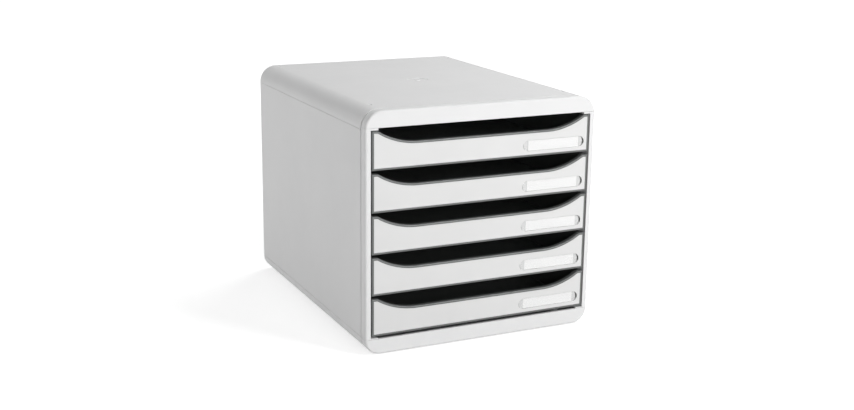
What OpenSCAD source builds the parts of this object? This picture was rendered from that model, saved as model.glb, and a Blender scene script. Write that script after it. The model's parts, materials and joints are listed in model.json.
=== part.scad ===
// Desktop file drawer: a free-standing casing with five sliding drawers, one above another.
// Millimetres. X runs to the right, Y to the back, Z up.
// The origin is the centre of the footprint, at the level that the feet stand on.
// Drawer 1 is the top one, drawer 5 the bottom one.

/* [Casing] */
// Overall width of the casing
casing_w = 278; // [260:1:320]
// Overall depth of the casing
casing_d = 347; // [320:1:400]
// Wall thickness of the shells, side panels and rear panel
wall = 2.5; // [2:0.1:3]
// Radius of the two long edges at the top
top_edge_r = 20; // [12:0.5:20]
// Radius of the two long edges at the bottom
low_edge_r = 17; // [10:0.5:17]
// Height of the upper beam, above the drawers
top_beam_h = 17.95; // [15:0.05:20]
// Height of the upper shell's skirt at the sides and back
top_skirt_h = 20.65; // [20.5:0.05:23]
// Height of the lower shell, which is also its front beam
low_beam_h = 17.3; // [17:0.1:20]
// Thickness of the shells' front walls
beam_wall = 3; // [2:0.1:4]
// Rounding of the casing's front edge
nose_r = 2; // [1:0.1:2.5]
// Width of the front face of each side panel
post_w = 5.8; // [4:0.1:6]
// Width of the seam between shells and panels
seam = 0.3; // [0.1:0.05:0.5]

/* [Front band and groove] */
// Distance from the front face to the groove that runs round the casing
band_d = 13.2; // [10:0.1:18]
// Width of the groove
groove_w = 2; // [0.8:0.1:2.5]
// Depth of the groove
groove_depth = 1.1; // [0.4:0.1:1.1]
// Width of the fine line where the rounding of the front edge begins
edge_line_w = 0.6; // [0.3:0.05:0.8]
// Depth of that line
edge_line_depth = 0.5; // [0.1:0.05:0.6]
// Length of the corner tabs that reach in from the side panels
tab_len = 8.5; // [5:0.1:12]
// Height of the upper corner tabs
top_tab_h = 2; // [1:0.1:2.4]
// Height of the lower corner tabs
low_tab_h = 1; // [0.8:0.1:2.4]

/* [Joins inside the casing] */
// Thickness of the tongues that join panels and shells
tongue_t = 1.6; // [1.2:0.1:2.4]
// Height that a tongue reaches past its seam
tongue_h = 5; // [3:0.1:6]
// Height of the part of a tongue that is fused to its own panel
tongue_root = 6; // [4:0.1:8]
// Clearance between pieces that are fitted to each other
fit_gap = 0.1; // [0.05:0.05:0.3]

/* [Top details] */
// Radius of the four stacking dimples
dimple_r = 2.4; // [2.2:0.1:3]
// Depth of the stacking dimples
dimple_depth = 1.2; // [1:0.1:1.5]
// Radius of the shallow round recess in the middle of the top
hub_r = 13; // [8:0.5:20]
// Depth of that recess
hub_depth = 0.5; // [0.3:0.1:0.8]
// Radius of the button in the middle of that recess
hub_button_r = 3.5; // [2:0.1:5]

/* [Feet] */
// Height that a foot stands out below the lower shell
foot_h = 1; // [0.8:0.1:1.2]
// Radius of a foot's tip, which drops into a stacking dimple
foot_tip_r = 2.1; // [1.8:0.1:2.1]
// Radius of a foot's flange
foot_flange_r = 4.5; // [3.5:0.1:6]
// Thickness of a foot's flange
foot_flange_t = 1.5; // [1:0.1:1.6]
// Radius of a foot's stem
foot_stem_r = 2; // [1.7:0.1:2.5]
// Length of a foot's stem above its flange
foot_stem_h = 4.5; // [3:0.1:6]
// Radius of the boss that holds a foot's stem
foot_boss_r = 5.5; // [5:0.1:8]
// Height of that boss above the floor of the lower shell
foot_boss_h = 5; // [3.5:0.1:7]
// Distance of dimples and feet from the sides of the casing
stud_side = 21; // [18:0.1:30]
// Distance of the front pair from the front face
stud_front = 37.4; // [30:0.1:60]
// Distance of the rear pair from the back
stud_back = 17.5; // [15:0.1:40]

/* [Drawer fronts] */
// Height of a drawer front
front_h = 42.35; // [36:0.05:50]
// Gap between one drawer front and the next
drawer_gap = 3.4; // [3.2:0.05:4]
// Gap between the outermost drawer fronts and the beams
end_gap = 3.2; // [3.1:0.05:4]
// Gap between a drawer front and the side panels
side_gap = 1.2; // [1:0.1:3]
// Thickness of a drawer front, with its facing
front_t = 5; // [4.5:0.1:7]
// Width of the dark rim round the white facing
rim_w = 2.4; // [1.5:0.1:3.5]
// Depth of the finger scoop in the top edge
scoop_depth = 13.6; // [8:0.1:16]
// Width of the level stretch left at each upper corner
horn_w = 5.64; // [4:0.02:20]
// Radius of the curves that rise from the scoop's level stretch
scoop_r = 85.6; // [70:0.1:95]
// Radius of the scoop's upper corners
scoop_corner_r = 5.4; // [4.2:0.1:8]
// Thickness of the white facing
facing_t = 2.4; // [2.2:0.1:3]
// Radius of the pegs behind the facing
peg_r = 1.5; // [1:0.1:2]
// Length of the pegs behind the facing
peg_len = 3.2; // [2.6:0.1:4]
// Distance of the outer pegs from the ends of the drawer front
peg_end = 20; // [17:0.5:24]
// Height of the upper pegs above the bottom of the drawer front
peg_high = 28; // [26:0.5:30]
// Height of the lower pegs above the bottom of the drawer front
peg_low = 9; // [7:0.5:12]
// Distance of the inner peg from the label recess
peg_inner = 12; // [8:0.5:30]

/* [Labels] */
// Length of the label recess
recess_l = 77.5; // [60:0.5:90]
// Height of the label recess
recess_h = 12.2; // [10:0.1:14]
// Depth of the label recess
recess_depth = 1.6; // [1.2:0.1:1.8]
// Distance of the recess from the end of the drawer front
recess_side = 6.25; // [5:0.05:12]
// Distance of the recess from the bottom of the drawer front
recess_low = 6.4; // [5:0.1:9]
// Width of the pry slot at each end of the recess
slot_w = 1.25; // [0.8:0.05:2]
// Width of the lip between the pry slot and the wall of the recess
slot_lip = 0.2; // [0.1:0.05:0.4]
// How much larger the pry slot's inner curve is than the end of the recess
slot_flare = 1.4; // [1:0.1:2]
// Height of the undercut behind each pry slot, which takes a fingernail
undercut_h = 8; // [4:0.5:10]
// How far the undercut reaches past the end of the recess
undercut_reach = 1.6; // [0.5:0.1:1.8]
// Thickness of the lip left in front of the undercut
undercut_lip = 0.8; // [0.6:0.1:1]
// Length of the label card
card_l = 64.2; // [50:0.1:65]
// Thickness of the label card
card_t = 0.4; // [0.2:0.05:0.5]
// Clearance round the label card and its window
label_gap = 0.15; // [0.1:0.05:0.3]

/* [Drawer trays] */
// Gap between a tray's side walls and the posts that it slides between
tray_side_gap = 0.9; // [0.6:0.1:3]
// Wall thickness of a tray
tray_wall = 2; // [1.6:0.1:3]
// Thickness of a tray's floor
tray_floor = 2; // [1.6:0.1:3]
// Height of a tray's side and rear walls
tray_h = 41; // [30:0.1:41.4]
// Radius of a tray's rear corners
tray_corner_r = 6; // [3:0.5:12]
// Gap between a closed tray and the bumper ribs behind it
closed_gap = 0.3; // [0.2:0.05:0.5]
// How far the drawers pull out
travel = 250; // [180:1:260]
// How far a stop lug stays clear of the side panel's wall
lug_clear = 0.9; // [0.5:0.1:1.2]
// Length of a stop lug
lug_len = 12; // [8:0.5:20]
// Height of a stop lug
lug_h = 12; // [8:0.5:16]
// Height of the stop lugs above the bottom of the tray
lug_z = 12; // [8:0.5:16]
// Gap left at the stop when a drawer is fully out
stop_gap = 0.3; // [0.2:0.05:0.5]

/* [Runners] */
// How far the tray's floor rests over its runners
runner_overlap = 6; // [4:0.5:10]
// Thickness of the runners on the side panels
runner_t = 2.5; // [2:0.1:2.6]
// Gap between a tray and its runners
runner_gap = 0.3; // [0.2:0.05:0.5]
// How far the bumper ribs on the rear panel reach past its tongues
bumper_reach = 0.5; // [0.3:0.1:1]
// Width of a bumper rib
bumper_w = 4; // [2:0.5:8]
// Distance of the bumper ribs from the middle
bumper_x = 70; // [40:1:100]

/* [Hidden] */
$fn = 96;
DRAWERS = 5;
DRAWER_NUMBERS = [1 : DRAWERS];

LIGHT_GREY = "#d9d9d9";
WHITE = "#f4f4f2";
CHARCOAL = "#3c403f";
RUBBER_GREY = "#55585a";
CARD_WHITE = "#ffffff";
WINDOW_CLEAR = "#e8f0f4";

// Overshoot of a cutting shape past the face that it cuts
past = 1;
// How far a drawer front's two curves run into each other, so that they cross instead of just touching
curve_overlap = 0.02;

// Planes of the casing
half_w = casing_w / 2;
front_y = -casing_d / 2;
back_y = casing_d / 2;
band_y = front_y + band_d;
pitch = front_h + drawer_gap;
opening_h = DRAWERS * front_h + (DRAWERS - 1) * drawer_gap + 2 * end_gap;
low_z = foot_h;
low_seam_z = low_z + low_beam_h;
opening_top_z = low_seam_z + opening_h;
top_z = opening_top_z + top_beam_h;
top_seam_z = top_z - top_skirt_h;
opening_half_w = half_w - post_w;
inner_half_w = half_w - wall;
inner_back_y = back_y - wall;

// Middle of a panel's wall, where what is fused to the panel ends
core_x = half_w - wall / 2;
core_y = back_y - wall / 2;

// How far a shell's inner corner of radius r has curved in, at height h past the corner's centre
function corner_drop(r, h) = r - sqrt(r * r - h * h);

// The tongues of the side panels stand clear of the curved corners inside the shells
top_drop = corner_drop(top_edge_r - wall, top_seam_z + tongue_h - (top_z - top_edge_r));
low_drop = corner_drop(low_edge_r - wall, low_z + low_edge_r - (low_seam_z - tongue_h));
tongue_x = inner_half_w - max(top_drop, low_drop) - fit_gap - tongue_t;
tongue_y = inner_back_y - fit_gap - tongue_t;
bumper_y = tongue_y - bumper_reach;

// A drawer, measured from its own bottom edge
front_w = 2 * (opening_half_w - side_gap);
front_back_y = front_y + front_t;
facing_y = front_y + facing_t;
tray_half_w = opening_half_w - tray_side_gap;
tray_back_y = bumper_y - closed_gap;
runner_x = tray_half_w - runner_overlap;
lug_half_w = inner_half_w - lug_clear;
lug_y = band_y + travel + stop_gap;
scoop_rise = scoop_r + scoop_corner_r - scoop_depth;
scoop_reach = sqrt(pow(scoop_r + scoop_corner_r - curve_overlap, 2) - pow(scoop_rise, 2));
scoop_flat = front_w / 2 - horn_w - scoop_reach;
recess_x = front_w / 2 - recess_side - recess_l / 2;
recess_z = recess_low + recess_h / 2;
window_l = recess_l - 2 * slot_w;
window_t = recess_depth - card_t - fit_gap;
peg_x = front_w / 2 - peg_end;
pegs = [
    [-peg_x, peg_high],
    [peg_x, peg_high],
    [-peg_x, peg_low],
    [recess_x - recess_l / 2 - peg_inner, peg_low]
];

// Where the feet and the stacking dimples are
stud_x = half_w - stud_side;
stud_front_y = front_y + stud_front;
stud_back_y = back_y - stud_back;

function drawer_z(n) = low_seam_z + end_gap + (DRAWERS - n) * pitch;

// ---- Helpers ----

// A box from its lowest and highest corners
module span(low, high) {
    translate(low) cube(high - low);
}

// Extrudes an outline drawn in X and Z from y0 back to y1
module along_y(y0, y1) {
    translate([0, y1, 0]) rotate([90, 0, 0]) linear_extrude(y1 - y0) children();
}

// The casing's outline seen from the front, drawn in by inset
module casing_outline(inset = 0) {
    translate([-half_w + inset, low_z + low_edge_r])
        square([casing_w - 2 * inset, top_z - low_z - top_edge_r - low_edge_r]);
    translate([-half_w + low_edge_r, low_z + inset])
        square([casing_w - 2 * low_edge_r, low_edge_r]);
    translate([-half_w + top_edge_r, top_z - top_edge_r])
        square([casing_w - 2 * top_edge_r, top_edge_r - inset]);
    for (side = [-1, 1]) {
        translate([side * (half_w - low_edge_r), low_z + low_edge_r]) circle(low_edge_r - inset);
        translate([side * (half_w - top_edge_r), top_z - top_edge_r]) circle(top_edge_r - inset);
    }
}

// The ring that a line of the given width and depth takes out of the casing's outside
module ring_cut(y, width, depth) {
    along_y(y - width / 2, y + width / 2) difference() {
        casing_outline(-past);
        casing_outline(depth);
    }
}

// The profile that rounds the front edge: x is the distance in from the outside, y the depth
module nose_profile() {
    difference() {
        translate([-past, -past]) square(nose_r + past);
        translate([nose_r, nose_r]) circle(nose_r);
    }
}

// Rounds the front edge along a quarter turn about a long edge's centre
module nose_corner(edge_r, start) {
    rotate([-90, 0, 0]) rotate([0, 0, start]) rotate_extrude(angle = 90)
        translate([edge_r, 0]) mirror([1, 0]) nose_profile();
}

// Everything that rounds the casing's front edge
module nose_cut() {
    for (side = [0, 1]) mirror([side, 0, 0]) {
        translate([half_w, front_y, low_z + low_edge_r]) mirror([1, 0, 0])
            linear_extrude(top_z - low_z - top_edge_r - low_edge_r) nose_profile();
        translate([half_w - top_edge_r, front_y, top_z - top_edge_r]) nose_corner(top_edge_r, -90);
        translate([half_w - low_edge_r, front_y, low_z + low_edge_r]) nose_corner(low_edge_r, 0);
    }
    translate([-half_w + top_edge_r, front_y, top_z]) rotate([90, 0, 90])
        linear_extrude(casing_w - 2 * top_edge_r) rotate(-90) nose_profile();
    translate([-half_w + low_edge_r, front_y, low_z]) rotate([90, 0, 90])
        linear_extrude(casing_w - 2 * low_edge_r) mirror([1, -1]) nose_profile();
}

// What is cut from the outside of every piece round the casing
module outside_cuts() {
    ring_cut(band_y, groove_w, groove_depth);
    ring_cut(front_y + nose_r, edge_line_w, edge_line_depth);
    nose_cut();
}

// ---- Casing ----

// Everything of the casing's skin between z0 and z1, with a thicker wall in front
module shell_skin(z0, z1) {
    difference() {
        intersection() {
            along_y(front_y, back_y) casing_outline();
            span([-half_w, front_y, z0], [half_w, back_y, z1]);
        }
        along_y(front_y + beam_wall, inner_back_y) casing_outline(wall);
    }
}

// Places its children at the four studs
module at_studs(z) {
    for (side = [-1, 1], y = [stud_front_y, stud_back_y]) translate([side * stud_x, y, z]) children();
}

module top_shell() {
    color(LIGHT_GREY) difference() {
        shell_skin(top_seam_z, top_z);
        // the beam ends higher than the skirt behind it
        span([-half_w, front_y - past, top_seam_z - past], [half_w, band_y, opening_top_z]);
        outside_cuts();
        at_studs(top_z - dimple_depth) cylinder(r = dimple_r, h = dimple_depth + past);
        translate([0, 0, top_z - hub_depth]) difference() {
            cylinder(r = hub_r, h = hub_depth + past);
            cylinder(r = hub_button_r, h = hub_depth);
        }
    }
}

module bottom_shell() {
    color(LIGHT_GREY) difference() {
        union() {
            shell_skin(low_z, low_seam_z);
            at_studs(low_z) cylinder(r = foot_boss_r, h = wall + foot_boss_h);
        }
        outside_cuts();
        at_studs(low_z - past) {
            cylinder(r = foot_flange_r + fit_gap, h = past + foot_flange_t);
            cylinder(r = foot_stem_r + fit_gap, h = past + foot_flange_t + foot_stem_h + fit_gap);
        }
    }
}

// A tongue along one edge of the right-hand side panel: z0 to z1 is fused to the panel,
// and t0 to t1 is the whole height of the tongue
module side_tongue(z0, z1, t0, t1) {
    span([tongue_x, band_y + fit_gap, z0], [core_x, tongue_y - fit_gap, z1]);
    span([tongue_x, band_y + fit_gap, t0], [tongue_x + tongue_t, tongue_y - fit_gap, t1]);
}

// The right-hand side panel before its outside is shaped
module side_panel_block() {
    z0 = low_seam_z + seam;
    z1 = top_seam_z - seam;
    post_top_z = opening_top_z - seam;
    // wall and front post
    span([inner_half_w, band_y - past, z0], [half_w, back_y, z1]);
    span([opening_half_w, front_y, z0], [half_w, band_y, z1]);
    // the post and the tabs at its ends reach up to the beams
    span([opening_half_w, front_y, z0], [half_w, band_y - seam, post_top_z]);
    span([opening_half_w - tab_len, front_y, post_top_z - top_tab_h], [half_w, band_y - seam, post_top_z]);
    span([opening_half_w - tab_len, front_y, z0], [half_w, band_y, z0 + low_tab_h]);
    // tongues that reach into the shells
    side_tongue(top_seam_z - tongue_root, z1, top_seam_z - tongue_root, top_seam_z + tongue_h);
    side_tongue(z0, low_seam_z + tongue_root, low_seam_z - tongue_h, low_seam_z + tongue_root);
    // runners
    for (n = DRAWER_NUMBERS) span(
        [runner_x, band_y, drawer_z(n) - runner_gap - runner_t],
        [core_x, tongue_y - fit_gap, drawer_z(n) - runner_gap]
    );
}

// The right-hand side panel; the left-hand one is its mirror image
module side_panel() {
    difference() {
        intersection() {
            along_y(front_y, back_y) casing_outline();
            side_panel_block();
        }
        outside_cuts();
    }
}

module left_side_panel() {
    color(LIGHT_GREY) mirror([1, 0, 0]) side_panel();
}

module right_side_panel() {
    color(LIGHT_GREY) side_panel();
}

// A tongue along one edge of the rear panel, with the same heights as on a side panel
module rear_tongue(z0, z1, t0, t1) {
    x = tongue_x - fit_gap;
    span([-x, tongue_y, z0], [x, core_y, z1]);
    span([-x, tongue_y, t0], [x, tongue_y + tongue_t, t1]);
}

module rear_panel() {
    x = inner_half_w - fit_gap;
    z0 = low_seam_z + seam;
    z1 = top_seam_z - seam;
    color(LIGHT_GREY) {
        span([-x, inner_back_y, z0], [x, back_y, z1]);
        rear_tongue(top_seam_z - tongue_root, z1, top_seam_z - tongue_root, top_seam_z + tongue_h);
        rear_tongue(z0, low_seam_z + tongue_root, low_seam_z - tongue_h, low_seam_z + tongue_root);
        // bumper ribs that the closed trays come up to
        for (side = [-1, 1])
            span(
                [side * bumper_x - bumper_w / 2, bumper_y, z0],
                [side * bumper_x + bumper_w / 2, core_y, z1]
            );
    }
}

module rubber_feet() {
    color(RUBBER_GREY) at_studs(0) {
        cylinder(r = foot_tip_r, h = foot_h + foot_flange_t);
        translate([0, 0, foot_h]) cylinder(r = foot_flange_r, h = foot_flange_t);
        translate([0, 0, foot_h]) cylinder(r = foot_stem_r, h = foot_flange_t + foot_stem_h);
    }
}

// ---- Drawers ----

// A drawer front's outline in X and Z, from its own bottom edge, drawn in by inset.
// A finger scoop dips between two rising curves that end in rounded corners.
module front_outline(inset = 0) {
    end_x = front_w / 2 - inset;
    top = front_h - inset;
    level = top - scoop_depth;
    curve_r = scoop_r + inset;
    corner_r = scoop_corner_r - inset;
    curve_z = level + curve_r;
    corner_z = top - corner_r;
    corner_x = scoop_flat + scoop_reach;
    // where curve and corner meet
    share = curve_r / (curve_r + corner_r);
    meet_x = scoop_flat + share * (corner_x - scoop_flat);
    meet_z = curve_z - share * (curve_z - corner_z);
    difference() {
        translate([-end_x, inset]) square([2 * end_x, top - inset]);
        translate([-scoop_flat, level]) square([2 * scoop_flat, scoop_depth + past]);
        for (side = [0, 1]) mirror([side, 0]) {
            translate([scoop_flat, curve_z]) circle(curve_r);
            difference() {
                polygon([
                    [meet_x, meet_z],
                    [meet_x, top + past],
                    [corner_x, top + past],
                    [corner_x, corner_z]
                ]);
                translate([corner_x, corner_z]) circle(corner_r);
            }
        }
    }
}

// A tray's outline in plan, drawn in by inset, from y0 back
module tray_plan(inset, y0) {
    x = tray_half_w - inset;
    y = tray_back_y - inset;
    r = tray_corner_r - inset;
    translate([-x, y0]) square([2 * x, y - r - y0]);
    translate([-x + r, y0]) square([2 * (x - r), y - y0]);
    for (side = [-1, 1]) translate([side * (x - r), y - r]) circle(r);
}

// A round peg or hole along Y at each peg's place
module at_pegs(y0, y1, r) {
    for (peg = pegs) translate([peg[0], y0, peg[1]]) rotate([-90, 0, 0]) cylinder(r = r, h = y1 - y0);
}

module drawer_tray(n) {
    color(CHARCOAL) translate([0, 0, drawer_z(n)]) {
        // front frame with a seat for the facing
        difference() {
            along_y(front_y, front_back_y) front_outline();
            along_y(front_y - past, facing_y) front_outline(rim_w);
            at_pegs(front_y, front_back_y + past, peg_r + fit_gap);
        }
        // floor and walls
        difference() {
            linear_extrude(tray_h) tray_plan(0, front_back_y);
            translate([0, 0, tray_floor]) linear_extrude(tray_h) tray_plan(tray_wall, front_back_y - past);
        }
        // stop lugs, square in front and sloping at the back
        for (side = [0, 1]) mirror([side, 0, 0]) translate([0, 0, lug_z]) linear_extrude(lug_h) polygon([
            [tray_half_w - tray_wall, lug_y],
            [lug_half_w, lug_y],
            [lug_half_w, lug_y + lug_len / 3],
            [tray_half_w - tray_wall, lug_y + lug_len]
        ]);
    }
}

// A bar with round ends, in X and Z, at the label's place on a drawer front
module label_outline(length, height) {
    translate([recess_x, recess_z]) {
        square([length - height, height], center = true);
        for (side = [-1, 1]) translate([side * (length - height) / 2, 0]) circle(height / 2);
    }
}

// The crescents at the ends of the label recess, for prying the window out
module pry_slots() {
    end_r = recess_h / 2;
    inner_r = end_r + slot_flare;
    translate([recess_x, recess_z]) for (side = [0, 1]) mirror([side, 0]) difference() {
        translate([recess_l / 2 - end_r, 0]) circle(end_r - slot_lip);
        translate([recess_l / 2 - slot_w - inner_r, 0]) circle(inner_r);
    }
}

// The undercuts behind those crescents
module pry_undercuts() {
    translate([recess_x, recess_z]) for (side = [0, 1]) mirror([side, 0])
        translate([recess_l / 2 - slot_w / 2, -undercut_h / 2])
            square([slot_w / 2 + undercut_reach, undercut_h]);
}

module drawer_facing(n) {
    color(WHITE) translate([0, 0, drawer_z(n)]) difference() {
        union() {
            along_y(front_y, facing_y) front_outline(rim_w + fit_gap);
            at_pegs(facing_y - past, facing_y + peg_len, peg_r);
        }
        along_y(front_y - past, front_y + recess_depth) label_outline(recess_l, recess_h);
        along_y(front_y - past, facing_y + past) pry_slots();
        along_y(front_y + undercut_lip, facing_y + past) pry_undercuts();
    }
}

module label_card(n) {
    color(CARD_WHITE) translate([recess_x, front_y + recess_depth - card_t / 2, drawer_z(n) + recess_z])
        cube([card_l, card_t, recess_h - 2 * label_gap], center = true);
}

module label_window(n) {
    window_back_y = front_y + recess_depth - card_t;
    color(WINDOW_CLEAR, 0.4) translate([0, 0, drawer_z(n)])
        along_y(window_back_y - window_t, window_back_y) label_outline(window_l, recess_h - 2 * label_gap);
}

top_shell();
bottom_shell();
left_side_panel();
right_side_panel();
rear_panel();
rubber_feet();
for (n = DRAWER_NUMBERS) {
    drawer_tray(n);
    drawer_facing(n);
    label_card(n);
    label_window(n);
}
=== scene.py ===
"""Desktop file drawer: the looks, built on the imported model.

Metres. X runs to the right, Y to the back, Z up; the feet stand at Z = 0.
"""
import json
import math

import bmesh
import bpy
from mathutils import Matrix, Vector

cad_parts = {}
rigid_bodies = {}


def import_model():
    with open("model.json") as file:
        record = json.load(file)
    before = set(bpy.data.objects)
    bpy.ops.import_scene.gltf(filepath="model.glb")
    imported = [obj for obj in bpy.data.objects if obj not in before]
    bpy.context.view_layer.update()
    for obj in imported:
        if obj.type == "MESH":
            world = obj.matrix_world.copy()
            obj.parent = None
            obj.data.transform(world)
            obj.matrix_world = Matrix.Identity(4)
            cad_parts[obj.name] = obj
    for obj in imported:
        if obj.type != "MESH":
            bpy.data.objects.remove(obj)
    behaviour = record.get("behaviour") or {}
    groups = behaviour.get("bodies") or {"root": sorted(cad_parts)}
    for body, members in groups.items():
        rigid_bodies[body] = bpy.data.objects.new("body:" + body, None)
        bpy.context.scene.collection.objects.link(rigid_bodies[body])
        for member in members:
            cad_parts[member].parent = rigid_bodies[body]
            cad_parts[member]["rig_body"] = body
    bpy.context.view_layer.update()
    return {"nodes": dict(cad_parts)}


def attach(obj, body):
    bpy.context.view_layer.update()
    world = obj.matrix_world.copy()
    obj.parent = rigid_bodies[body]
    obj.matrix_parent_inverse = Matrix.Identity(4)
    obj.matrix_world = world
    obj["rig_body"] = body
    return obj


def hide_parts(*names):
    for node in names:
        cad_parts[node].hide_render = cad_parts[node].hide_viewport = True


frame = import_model()
nodes = frame["nodes"]
MM = 0.001
DRAWER_COUNT = 5
DRAWERS = range(1, DRAWER_COUNT + 1)


# ---------------------------------------------------------------- materials

# The part of a noise's range that its colours and its roughness are spread over
NOISE_LOW, NOISE_HIGH = 0.3, 0.7


def math_node(tree, operation, a, b):
    """The result of a Math node. a and b are sockets or numbers."""
    node = tree.nodes.new("ShaderNodeMath")
    node.operation = operation
    for socket, value in zip(node.inputs, (a, b)):
        if isinstance(value, bpy.types.NodeSocket):
            tree.links.new(value, socket)
        else:
            socket.default_value = value
    return node.outputs[0]


def seen_directly(tree):
    """1 for rays from the camera, mirrored or straight through, and 0 for rays that gather light."""
    path = tree.nodes.new("ShaderNodeLightPath")
    seen = path.outputs["Is Camera Ray"]
    for name in ("Is Glossy Ray", "Is Transmission Ray"):
        seen = math_node(tree, "MAXIMUM", seen, path.outputs[name])
    return seen


class Shader:
    """A node material with a Principled shader, and short ways to add the nodes that feed it."""

    def __init__(self, name):
        self.mat = bpy.data.materials.new(name)
        self.mat.use_nodes = True
        self.tree = self.mat.node_tree
        self.tree.nodes.clear()
        out = self.add("ShaderNodeOutputMaterial")
        self.bsdf = self.add("ShaderNodeBsdfPrincipled")
        self.link(self.bsdf.outputs["BSDF"], out.inputs["Surface"])
        self.coords = self.add("ShaderNodeTexCoord").outputs["Object"]

    def add(self, kind, **values):
        node = self.tree.nodes.new(kind)
        for key, value in values.items():
            setattr(node, key, value)
        return node

    def link(self, a, b):
        self.tree.links.new(a, b)

    def set(self, **values):
        for key, value in values.items():
            self.bsdf.inputs[key.replace("_", " ")].default_value = value

    def noise(self, scale, detail, roughness=0.55):
        """Noise with features about 1 / scale metres wide."""
        node = self.add("ShaderNodeTexNoise")
        node.inputs["Scale"].default_value = scale
        node.inputs["Detail"].default_value = detail
        node.inputs["Roughness"].default_value = roughness
        self.link(self.coords, node.inputs["Vector"])
        return node.outputs["Fac"]

    def ramp(self, source, low, high, out_low, out_high):
        """Maps low..high of source to out_low..out_high, clamped."""
        node = self.add("ShaderNodeMapRange")
        node.inputs["From Min"].default_value = low
        node.inputs["From Max"].default_value = high
        node.inputs["To Min"].default_value = out_low
        node.inputs["To Max"].default_value = out_high
        self.link(source, node.inputs["Value"])
        return node.outputs["Result"]

    def colour(self, noise, dark, light):
        """Lets the base colour vary from dark to light with the noise."""
        node = self.add("ShaderNodeMix", data_type="RGBA")
        node.inputs["A"].default_value = (*dark, 1)
        node.inputs["B"].default_value = (*light, 1)
        self.link(self.ramp(noise, NOISE_LOW, NOISE_HIGH, 0, 1), node.inputs["Factor"])
        self.link(node.outputs["Result"], self.bsdf.inputs["Base Color"])

    def roughness(self, noise, low, high):
        self.link(self.ramp(noise, NOISE_LOW, NOISE_HIGH, low, high), self.bsdf.inputs["Roughness"])

    def bump(self, height, distance, strength):
        node = self.add("ShaderNodeBump")
        node.inputs["Distance"].default_value = distance
        node.inputs["Strength"].default_value = strength
        self.link(height, node.inputs["Height"])
        self.link(node.outputs["Normal"], self.bsdf.inputs["Normal"])


def casing_material():
    """Light grey plastic with a fine matte texture."""
    s = Shader("casing_light_grey")
    s.set(IOR=1.49)
    s.colour(s.noise(9.0, 4.0), (0.755, 0.756, 0.757), (0.785, 0.785, 0.785))
    s.roughness(s.noise(60.0, 3.0), 0.5, 0.6)
    s.bump(s.noise(1700.0, 2.0), 0.00004, 0.5)
    return s.mat


def facing_material():
    """Glossy white plastic, a little wavy."""
    s = Shader("facing_gloss_white")
    s.set(IOR=1.5)
    s.colour(s.noise(14.0, 3.0), (0.70, 0.70, 0.697), (0.725, 0.725, 0.722))
    s.roughness(s.noise(40.0, 4.0), 0.14, 0.22)
    s.bump(s.noise(90.0, 2.0), 0.00002, 0.25)
    return s.mat


def tray_material():
    """Charcoal plastic with a satin finish."""
    s = Shader("tray_charcoal")
    s.set(IOR=1.59)
    s.colour(s.noise(20.0, 4.0), (0.108, 0.114, 0.112), (0.126, 0.132, 0.13))
    s.roughness(s.noise(70.0, 3.0), 0.3, 0.38)
    s.bump(s.noise(1500.0, 2.0), 0.00003, 0.4)
    return s.mat


def rubber_material():
    """Dull dark rubber."""
    s = Shader("foot_rubber")
    s.set(IOR=1.45)
    s.colour(s.noise(300.0, 4.0), (0.075, 0.078, 0.08), (0.1, 0.102, 0.105))
    s.roughness(s.noise(500.0, 3.0), 0.7, 0.85)
    s.bump(s.noise(1200.0, 3.0), 0.00006, 0.6)
    return s.mat


def card_material():
    """White paper with a fibrous grain."""
    s = Shader("label_paper")
    s.set(IOR=1.45)
    s.colour(s.noise(900.0, 5.0, 0.7), (0.92, 0.92, 0.915), (0.95, 0.95, 0.945))
    s.roughness(s.noise(700.0, 4.0), 0.75, 0.9)
    s.bump(s.noise(2500.0, 4.0, 0.7), 0.00002, 0.5)
    return s.mat


def window_material():
    """Clear plastic, which shows by its gloss and a faint grey."""
    s = Shader("label_window_clear")
    s.set(IOR=1.49, Alpha=0.06)
    s.colour(s.noise(30.0, 2.0), (0.5, 0.505, 0.51), (0.54, 0.545, 0.55))
    s.roughness(s.noise(60.0, 3.0), 0.05, 0.1)
    s.bump(s.noise(120.0, 2.0), 0.00001, 0.2)
    return s.mat


CASING = casing_material()
FACING = facing_material()
TRAY = tray_material()
RUBBER = rubber_material()
CARD = card_material()
WINDOW = window_material()

MATERIAL_OF = {
    "top_shell": CASING, "bottom_shell": CASING, "left_side_panel": CASING,
    "right_side_panel": CASING, "rear_panel": CASING, "rubber_feet": RUBBER,
}
for n in DRAWERS:
    MATERIAL_OF[f"drawer_tray_{n}"] = TRAY
    MATERIAL_OF[f"drawer_facing_{n}"] = FACING
    MATERIAL_OF[f"label_card_{n}"] = CARD
    MATERIAL_OF[f"label_window_{n}"] = WINDOW


# ---------------------------------------------------------------- drawer trays and label windows

# Sizes in millimetres, as in the solids; Z is measured from a drawer's own bottom edge
BOTTOM_Z, PITCH = 21.5, 45.75
FRONT_Y = -173.5
FRONT_W, FRONT_H, FRONT_T = 264, 42.35, 5
SEAT_DEPTH = 2.4
RIM_W = 2.4
HORN_W = 5.64
SCOOP_DEPTH, SCOOP_R, SCOOP_CORNER_R = 13.6, 85.6, 5.4
TRAY_HALF_W, TRAY_BACK_Y, TRAY_H = 132.3, 168.5, 41
WALL, FLOOR, REAR_CORNER_R = 2, 2, 6
LUG_HALF_W, LUG_Y, LUG_LEN = 135.6, 90, 12
LUG_Z0, LUG_Z1 = 12, 24
RECESS_X, RECESS_Z = 87, 12.5
WINDOW_L, WINDOW_H = 75, 11.9
WINDOW_Y, CARD_Y = -173.4, -172.3

# Rounding of the rim's outer and inner edge, the walls' top and a window's rim, and the fillet at the floor
BEAD_R, RIM_EDGE_R, TOP_R, WINDOW_R, FILLET_R = 1.3, 0.15, 0.5, 0.15, 1.5
# The walls end this much lower than in the solids
TOP_DROP = 0.02
# A window's back lies this far in front of its card, so that the two faces don't touch
CARD_GAP = 0.04
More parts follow.
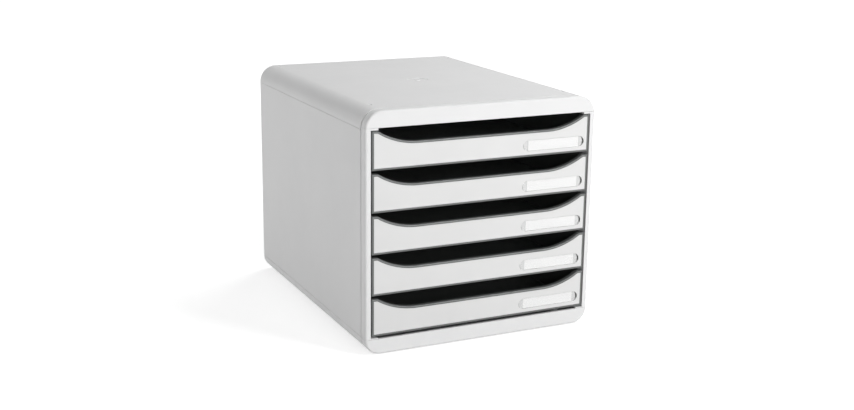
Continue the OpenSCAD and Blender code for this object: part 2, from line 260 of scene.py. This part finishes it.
# The walls' section goes on this far past the fillet, to where the flat floor starts
FLOOR_LAP = 1
# Where a lug's slope starts and ends, as a share of its length
LUG_SLOPE_START, LUG_SLOPE_END = 1 / 3, 0.9

# Steps in each rounding
BEAD_STEPS, EDGE_STEPS, TOP_STEPS, FILLET_STEPS = 8, 3, 4, 5
CORNER_STEPS, SCOOP_STEPS, REAR_CORNER_STEPS, WINDOW_STEPS = 6, 20, 8, 24
# Two faces that meet at less than this are shaded as one smooth surface
SHARP_ANGLE = math.radians(35)

SCOOP_TILT = math.acos((SCOOP_R + SCOOP_CORNER_R - SCOOP_DEPTH) / (SCOOP_R + SCOOP_CORNER_R))
CORNER_X = FRONT_W / 2 - HORN_W
SCOOP_FLAT = CORNER_X - (SCOOP_R + SCOOP_CORNER_R) * math.sin(SCOOP_TILT)


def turns(angle, steps):
    """Sine and one minus cosine from 0 to the angle, for a rounding."""
    return [(math.sin(a), 1 - math.cos(a)) for a in (angle * i / steps for i in range(steps + 1))]


def quarter(steps):
    return turns(math.pi / 2, steps)


def front_outline(inset):
    """A drawer front's outline in X and Z, drawn in by inset. Every inset gives as many points."""
    end_x, top = FRONT_W / 2 - inset, FRONT_H - inset
    curve_r, corner_r = SCOOP_R + inset, SCOOP_CORNER_R - inset
    corner = [
        (CORNER_X - corner_r * turn, top - corner_r * drop)
        for turn, drop in turns(SCOOP_TILT, CORNER_STEPS)
    ]
    curve = [
        (SCOOP_FLAT + curve_r * turn, top - SCOOP_DEPTH + curve_r * rise)
        for turn, rise in turns(SCOOP_TILT, SCOOP_STEPS)
    ]
    # The corner ends on the curve's last point, so the curve comes without it, from there inwards
    right = [(end_x, inset), (end_x, top)] + corner + curve[-2::-1]
    return right + [(-x, z) for x, z in reversed(right)]


def tray_path(inset):
    """The tray's outline in plan, open at the front, drawn in by inset."""
    x, y, r = TRAY_HALF_W - inset, TRAY_BACK_Y - inset, REAR_CORNER_R - inset
    right = [(x, FRONT_Y + FRONT_T)]
    for i in range(REAR_CORNER_STEPS + 1):
        a = math.pi / 2 * i / REAR_CORNER_STEPS
        right.append((x - r * (1 - math.cos(a)), y - r * (1 - math.sin(a))))
    return right + [(-x, y) for x, y in reversed(right)]


def window_outline(inset):
    """A label window's outline in X and Z, drawn in by inset: a bar with round ends."""
    r = WINDOW_H / 2 - inset
    end = (WINDOW_L - WINDOW_H) / 2
    angles = [math.pi * (i / WINDOW_STEPS - 0.5) for i in range(WINDOW_STEPS + 1)]
    right = [(end + r * math.cos(a), r * math.sin(a)) for a in angles]
    ring = right + [(-x, -z) for x, z in right]
    return [(RECESS_X + x, RECESS_Z + z) for x, z in ring]


def add_solid(bm, rows):
    """A closed solid: quads from each row of points to the next, and the first and last row filled in."""
    made = [[bm.verts.new(point) for point in row] for row in rows]
    count = len(made[0])
    for one, other in zip(made, made[1:]):
        for i in range(count):
            j = (i + 1) % count
            bm.faces.new((one[i], one[j], other[j], other[i]))
    bm.faces.new(made[0])
    bm.faces.new(made[-1])


def add_plate(bm, outline, steps):
    """A solid through outlines in X and Z, one for each step's inset and Y."""
    add_solid(bm, [[(x, y, z) for x, z in outline(inset)] for inset, y in steps])


def add_front_frame(bm):
    """The frame that shows as a dark rim, with a rounded outer edge and a seat for the facing."""
    steps = [(0, FRONT_Y + FRONT_T)]
    steps += [(BEAD_R * rise, FRONT_Y + BEAD_R * (1 - turn)) for turn, rise in quarter(BEAD_STEPS)]
    steps += [
        (RIM_W - RIM_EDGE_R * (1 - turn), FRONT_Y + RIM_EDGE_R * rise)
        for turn, rise in quarter(EDGE_STEPS)
    ]
    steps += [(RIM_W, FRONT_Y + SEAT_DEPTH)]
    add_plate(bm, front_outline, steps)


def add_walls_and_floor(bm):
    """Side and rear walls with a rounded top and a fillet at the foot, round a flat floor."""
    top = TRAY_H - TOP_DROP
    floor_edge = WALL + FILLET_R + FLOOR_LAP
    section = [(0, 0)]
    section += [(TOP_R * rise, top - TOP_R * (1 - turn)) for turn, rise in quarter(TOP_STEPS)]
    section += [(WALL - TOP_R * (1 - turn), top - TOP_R * rise) for turn, rise in quarter(TOP_STEPS)]
    section += [
        (WALL + FILLET_R * rise, FLOOR + FILLET_R * (1 - turn))
        for turn, rise in quarter(FILLET_STEPS)
    ]
    section += [(floor_edge, FLOOR), (floor_edge, 0)]
    paths = [[(x, y, z) for x, y in tray_path(inset)] for inset, z in section]
    add_solid(bm, list(zip(*paths)))
    plan = tray_path(floor_edge)
    add_solid(bm, [[(x, y, z) for x, y in plan] for z in (0, FLOOR)])


def add_lug(bm, side):
    """The stop lug on a side wall, square in front and sloping at the back."""
    inner = TRAY_HALF_W - WALL / 2
    slope_y = LUG_Y + LUG_LEN * LUG_SLOPE_START
    end_y = LUG_Y + LUG_LEN * LUG_SLOPE_END
    outline = [(inner, LUG_Y), (LUG_HALF_W, LUG_Y), (LUG_HALF_W, slope_y), (inner, end_y)]
    add_solid(bm, [[(side * x, y, z) for x, y in outline] for z in (LUG_Z0, LUG_Z1)])


def add_tray(bm):
    add_front_frame(bm)
    add_walls_and_floor(bm)
    for side in (-1, 1):
        add_lug(bm, side)


def add_window(bm):
    """The clear plate over a label card, with a rounded rim in front."""
    steps = [(0, CARD_Y - CARD_GAP), (0, WINDOW_Y + WINDOW_R)]
    steps += [(WINDOW_R * rise, WINDOW_Y + WINDOW_R * (1 - turn)) for turn, rise in quarter(EDGE_STEPS)]
    add_plate(bm, window_outline, steps)


def make_piece(name, node, add_shape, place):
    """An object of the shape, smooth but for its sharp edges, that replaces the node and rides its body."""
    bm = bmesh.new()
    add_shape(bm)
    bmesh.ops.recalc_face_normals(bm, faces=bm.faces)
    for e in bm.edges:
        e.smooth = len(e.link_faces) == 2 and e.calc_face_angle() < SHARP_ANGLE
    for f in bm.faces:
        f.smooth = True
    bmesh.ops.transform(bm, matrix=Matrix.Scale(MM, 4) @ Matrix.Translation(place), verts=bm.verts)
    mesh = bpy.data.meshes.new(name)
    bm.to_mesh(mesh)
    bm.free()
    obj = bpy.data.objects.new(name, mesh)
    bpy.context.scene.collection.objects.link(obj)
    mesh.materials.append(MATERIAL_OF[node])
    normals = obj.modifiers.new("normals", "WEIGHTED_NORMAL")
    normals.keep_sharp = True
    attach(obj, nodes[node]["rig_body"])
    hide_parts(node)


for name, obj in nodes.items():
    obj.data.materials.clear()
    obj.data.materials.append(MATERIAL_OF[name])

for n in DRAWERS:
    place = Vector((0, 0, BOTTOM_Z + PITCH * (DRAWER_COUNT - n)))
    make_piece(f"drawer_tray_{n}_moulding", f"drawer_tray_{n}", add_tray, place)
    make_piece(f"label_window_{n}_plate", f"label_window_{n}", add_window, place)


# ---------------------------------------------------------------- stage

FLOOR_SIZE = 60
# The floor lies this far under the feet, so that the two faces don't touch
FLOOR_DROP = 0.0002
# White that shows on the floor, also in reflections, but gives off no light. There is less of it up to the
# first distance from the origin, and more from the second one out
GLOW_NEAR, GLOW_FAR = 0.62, 0.97
GLOW_START, GLOW_END = 0.3, 1.5
# Light from all round, where 1 is white
WORLD_LEVEL = 0.15

LAMP_TARGET = Vector((0, -0.1, 0.13))

# The camera's place in millimetres and its turn in degrees were fitted to points of the photograph, and so
# was its focal length, in pixels of the photograph
CAMERA_PLACE = (-626.9, -1344.1, 500.4)
CAMERA_YAW, CAMERA_PITCH, CAMERA_ROLL = 25.52, -14.611, 0.681
FOCAL_LENGTH, PHOTO_W = 1253.9, 854
SENSOR_W = 36
CLIP_START, CLIP_END = 0.05, 100


def floor_material():
    """Pale and matte, and lifted to white where it is seen, but less so round the object's shadow."""
    s = Shader("floor_pale")
    s.set(Base_Color=(0.7, 0.7, 0.7, 1), Roughness=0.9, Specular_IOR_Level=0.0, Emission_Color=(1, 1, 1, 1))
    reach = s.add("ShaderNodeVectorMath", operation="LENGTH")
    s.link(s.coords, reach.inputs[0])
    glow = s.ramp(reach.outputs["Value"], GLOW_START, GLOW_END, GLOW_NEAR, GLOW_FAR)
    s.link(math_node(s.tree, "MULTIPLY", glow, seen_directly(s.tree)), s.bsdf.inputs["Emission Strength"])
    return s.mat


def make_floor():
    bpy.ops.mesh.primitive_plane_add(size=FLOOR_SIZE, location=(0, 0, -FLOOR_DROP))
    floor = bpy.context.object
    floor.name = "floor"
    floor.data.materials.append(floor_material())


def make_world():
    """Even light from all round, and white where it is seen, straight or in a reflection."""
    world = bpy.data.worlds.new("studio")
    bpy.context.scene.world = world
    world.use_nodes = True
    tree = world.node_tree
    tree.nodes.clear()
    background = tree.nodes.new("ShaderNodeBackground")
    out = tree.nodes.new("ShaderNodeOutputWorld")
    tree.links.new(background.outputs[0], out.inputs[0])
    strength = math_node(tree, "MAXIMUM", seen_directly(tree), WORLD_LEVEL)
    tree.links.new(strength, background.inputs["Strength"])


def make_lamp(name, distance, azimuth, elevation, size, level):
    """A softbox that faces the target, in degrees to the right of the front and above the horizon.

    level is the light it gives there on a surface turned to it, where 1 makes a white surface white.
    """
    light = bpy.data.lights.new(name, "AREA")
    light.shape = "RECTANGLE"
    light.size, light.size_y = size
    light.energy = level * (math.pi * distance) ** 2
    obj = bpy.data.objects.new(name, light)
    bpy.context.scene.collection.objects.link(obj)
    a, e = math.radians(azimuth), math.radians(elevation)
    away = Vector((math.sin(a) * math.cos(e), -math.cos(a) * math.cos(e), math.sin(e)))
    obj.location = LAMP_TARGET + distance * away
    obj.rotation_euler = away.to_track_quat("Z", "Y").to_euler()


def make_camera():
    data = bpy.data.cameras.new("camera")
    data.sensor_width = SENSOR_W
    data.lens = FOCAL_LENGTH / PHOTO_W * SENSOR_W
    data.clip_start = CLIP_START
    data.clip_end = CLIP_END
    camera = bpy.data.objects.new("camera", data)
    bpy.context.scene.collection.objects.link(camera)
    yaw, pitch, roll = (math.radians(a) for a in (CAMERA_YAW, CAMERA_PITCH, CAMERA_ROLL))
    forward = Vector((math.sin(yaw) * math.cos(pitch), math.cos(yaw) * math.cos(pitch), math.sin(pitch)))
    level = Vector((math.cos(yaw), -math.sin(yaw), 0))
    upright = level.cross(forward)
    right = math.cos(roll) * level + math.sin(roll) * upright
    up = -math.sin(roll) * level + math.cos(roll) * upright
    turn = Matrix((right, up, -forward)).transposed()
    camera.matrix_world = Matrix.Translation(Vector(CAMERA_PLACE) * MM) @ turn.to_4x4()
    bpy.context.scene.camera = camera


make_floor()
make_world()
make_lamp("front", distance=2.3, azimuth=-3, elevation=13, size=(1.4, 0.7), level=0.43)
make_lamp("strip", distance=1.7, azimuth=30, elevation=35, size=(0.3, 0.8), level=0.36)
make_lamp("right", distance=1.7, azimuth=50, elevation=35, size=(0.7, 0.7), level=0.11)
make_lamp("left", distance=1.7, azimuth=-105, elevation=8, size=(0.6, 0.6), level=0.28)
make_lamp("right_back", distance=2.0, azimuth=135, elevation=50, size=(0.9, 0.9), level=0.33)
make_lamp("back", distance=2.0, azimuth=180, elevation=60, size=(1.0, 1.0), level=0.065)
make_camera()
bpy.context.scene.view_settings.view_transform = "Standard"
